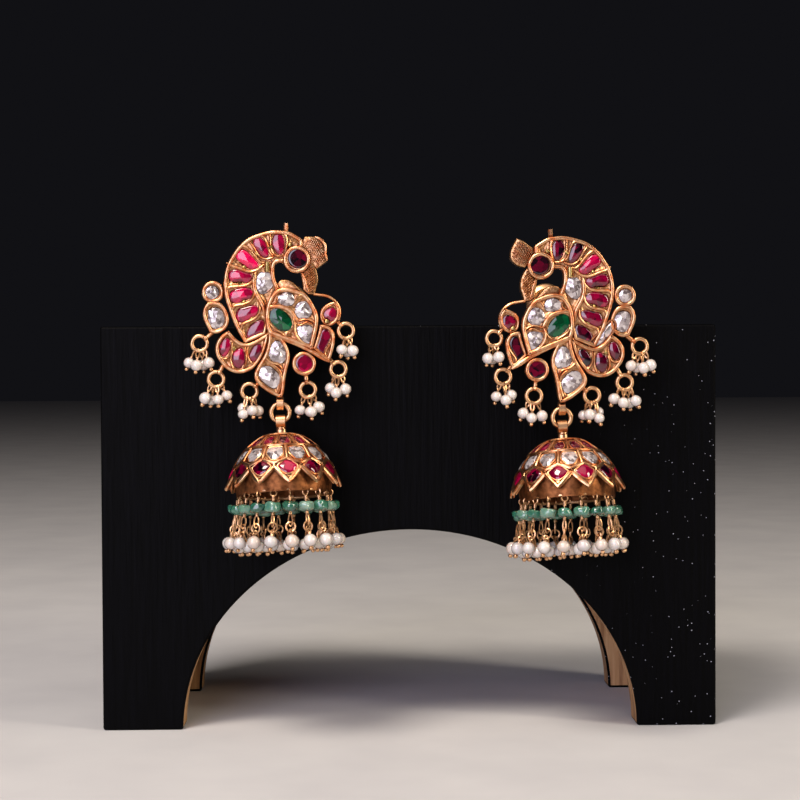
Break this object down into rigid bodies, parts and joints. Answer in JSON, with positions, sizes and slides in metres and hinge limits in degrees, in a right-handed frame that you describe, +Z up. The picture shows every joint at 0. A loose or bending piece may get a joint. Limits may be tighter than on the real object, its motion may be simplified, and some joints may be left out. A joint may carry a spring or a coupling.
{
  "type": "pair of kundan jhumka earrings on a plain arched wooden display stand",
  "caption": "Peacock-shaped kundan stud earrings with domed bell drops, pearl clusters and a bead and pearl fringe, hung on a plain black arched wooden stand.",
  "frame": {"origin": "middle of the box of the whole thing, at its base", "axes": "+Z up, -Y towards the front where the earrings hang, +X to the right as seen from the front"},
  "size_m": [0.122, 0.0708, 0.1],
  "materials": {
    "black_wood": "brushed black paint",
    "antique_gold": "antique gold plate, polished on the ribs and dark in the recesses",
    "ruby": "polished",
    "emerald": "polished",
    "polki": "polished over foil",
    "pearl": "soft pearl lustre"
  },
  "bodies": {
    "stand_and_studs": {"stand_front": "black_wood", "stand_rear": "black_wood", "stand_top": "black_wood", "stand_left_side": "black_wood", "stand_right_side": "black_wood", "left_stud_frame": "antique_gold", "left_post_and_nut": "antique_gold", "left_eye_ruby": "ruby", "left_round_ruby": "ruby", "left_drop_ruby": "ruby", "left_leaf_ruby": "ruby", "left_wing_white_upper": "polki", "left_wing_white_middle": "polki", "left_wing_white_lower": "polki", "left_wing_green": "emerald", "left_neck_white": "polki", "left_drop_white_upper": "polki", "left_drop_white_lower": "polki", "left_pearl_cluster_1": "pearl", "left_pearl_cluster_2": "pearl", "left_pearl_cluster_3": "pearl", "left_pearl_cluster_4": "pearl", "left_pearl_cluster_5": "pearl", "left_pearl_cluster_6": "pearl", "right_stud_frame": "antique_gold", "right_post_and_nut": "antique_gold", "right_eye_ruby": "ruby", "right_round_ruby": "ruby", "right_drop_ruby": "ruby", "right_leaf_ruby": "ruby", "right_wing_white_upper": "polki", "right_wing_white_middle": "polki", "right_wing_white_lower": "polki", "right_wing_green": "emerald", "right_neck_white": "polki", "right_drop_white_upper": "polki", "right_drop_white_lower": "polki", "right_pearl_cluster_1": "pearl", "right_pearl_cluster_2": "pearl", "right_pearl_cluster_3": "pearl", "right_pearl_cluster_4": "pearl", "right_pearl_cluster_5": "pearl", "right_pearl_cluster_6": "pearl"},
    "left_ring": {"left_main_ring": "antique_gold"},
    "left_drop": {"left_bell": "antique_gold", "left_bead_skirt": "pearl"},
    "right_ring": {"right_main_ring": "antique_gold"},
    "right_drop": {"right_bell": "antique_gold", "right_bead_skirt": "pearl"}
  },
  "joints": [
    {"name": "left_ring_swing", "type": "hinge", "parent": "stand_and_studs", "child": "left_ring", "pos_m": [-0.0251, -0.02126, 0.0649], "axis": [-1, 0, 0], "range_deg": [0, 50]},
    {"name": "left_drop_sway", "type": "hinge", "parent": "left_ring", "child": "left_drop", "pos_m": [-0.0251, -0.02126, 0.06315], "axis": [0, 1, 0], "range_deg": [-20, 20]},
    {"name": "right_ring_swing", "type": "hinge", "parent": "stand_and_studs", "child": "right_ring", "pos_m": [0.0292, -0.02126, 0.0636], "axis": [-1, 0, 0], "range_deg": [0, 50]},
    {"name": "right_drop_sway", "type": "hinge", "parent": "right_ring", "child": "right_drop", "pos_m": [0.0292, -0.02126, 0.06185], "axis": [0, 1, 0], "range_deg": [-20, 20]}
  ]
}
